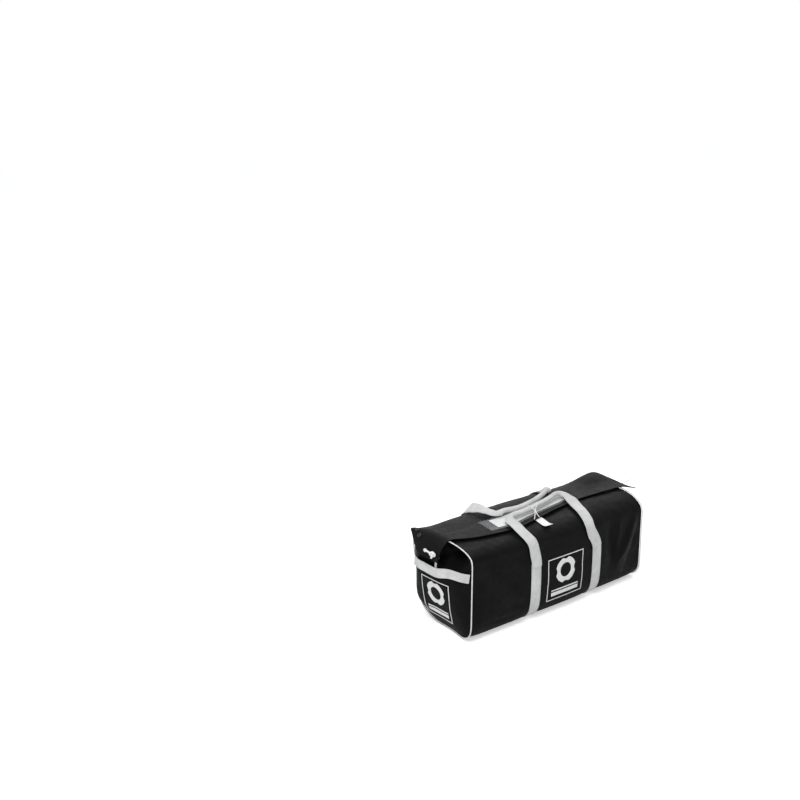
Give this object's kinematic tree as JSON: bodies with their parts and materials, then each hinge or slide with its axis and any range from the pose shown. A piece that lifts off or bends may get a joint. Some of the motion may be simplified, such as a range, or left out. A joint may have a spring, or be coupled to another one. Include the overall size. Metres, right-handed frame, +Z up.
{
  "type": "liferaft valise",
  "caption": "Soft black carry bag packed with a folded liferaft: piped ends, long top flap, webbing belly straps, paired carry handles and end handles.",
  "frame": {"origin": "on the floor, under the middle of the bag: halfway between the two piped end seams and on the middle plane between the front and back panels", "axes": "+X along the bag towards the end without a print, +Y from the printed front panel to the back panel, +Z up"},
  "size_m": [0.8861, 0.322, 0.3363],
  "materials": {
    "shell_fabric": "coated fabric, satin black",
    "flap_fabric": "coated fabric, satin black",
    "webbing": "woven polyester webbing, light grey",
    "piping": "off-white, satin",
    "print_ink": "matt light grey ink",
    "clear_film": "clear soft film",
    "card": "white, matt",
    "closure_tape": "black hook and loop",
    "grip_tube": "black, matt",
    "white_cord": "braided white cord",
    "eyelet": "black, matt"
  },
  "bodies": {
    "root": {"packed_body": "shell_fabric", "top_flap": "flap_fabric", "piping_left": "piping", "piping_right": "piping", "belly_strap_left": "webbing", "belly_strap_right": "webbing", "handle_front": "webbing", "handle_back": "webbing", "grip_tube_front": "grip_tube", "grip_tube_back": "grip_tube", "end_handle_left": "webbing", "end_handle_right": "webbing", "end_tape_left": "webbing", "document_sleeve": "clear_film", "document_card": "card", "pull_tag": "card", "closure_loop_strip": "closure_tape", "closure_hook_strip": "closure_tape", "print_frame_front": "print_ink", "print_buoy_front": "print_ink", "print_bar_wide_front": "print_ink", "print_bar_thin_front": "print_ink", "print_frame_end": "print_ink", "print_buoy_end": "print_ink", "print_bar_wide_end": "print_ink", "print_bar_thin_end": "print_ink", "handle_tie": "white_cord", "painter_knot": "white_cord", "cord_tail_right": "white_cord", "eyelet_low": "eyelet", "eyelet_high": "eyelet"}
  },
  "joints": []
}
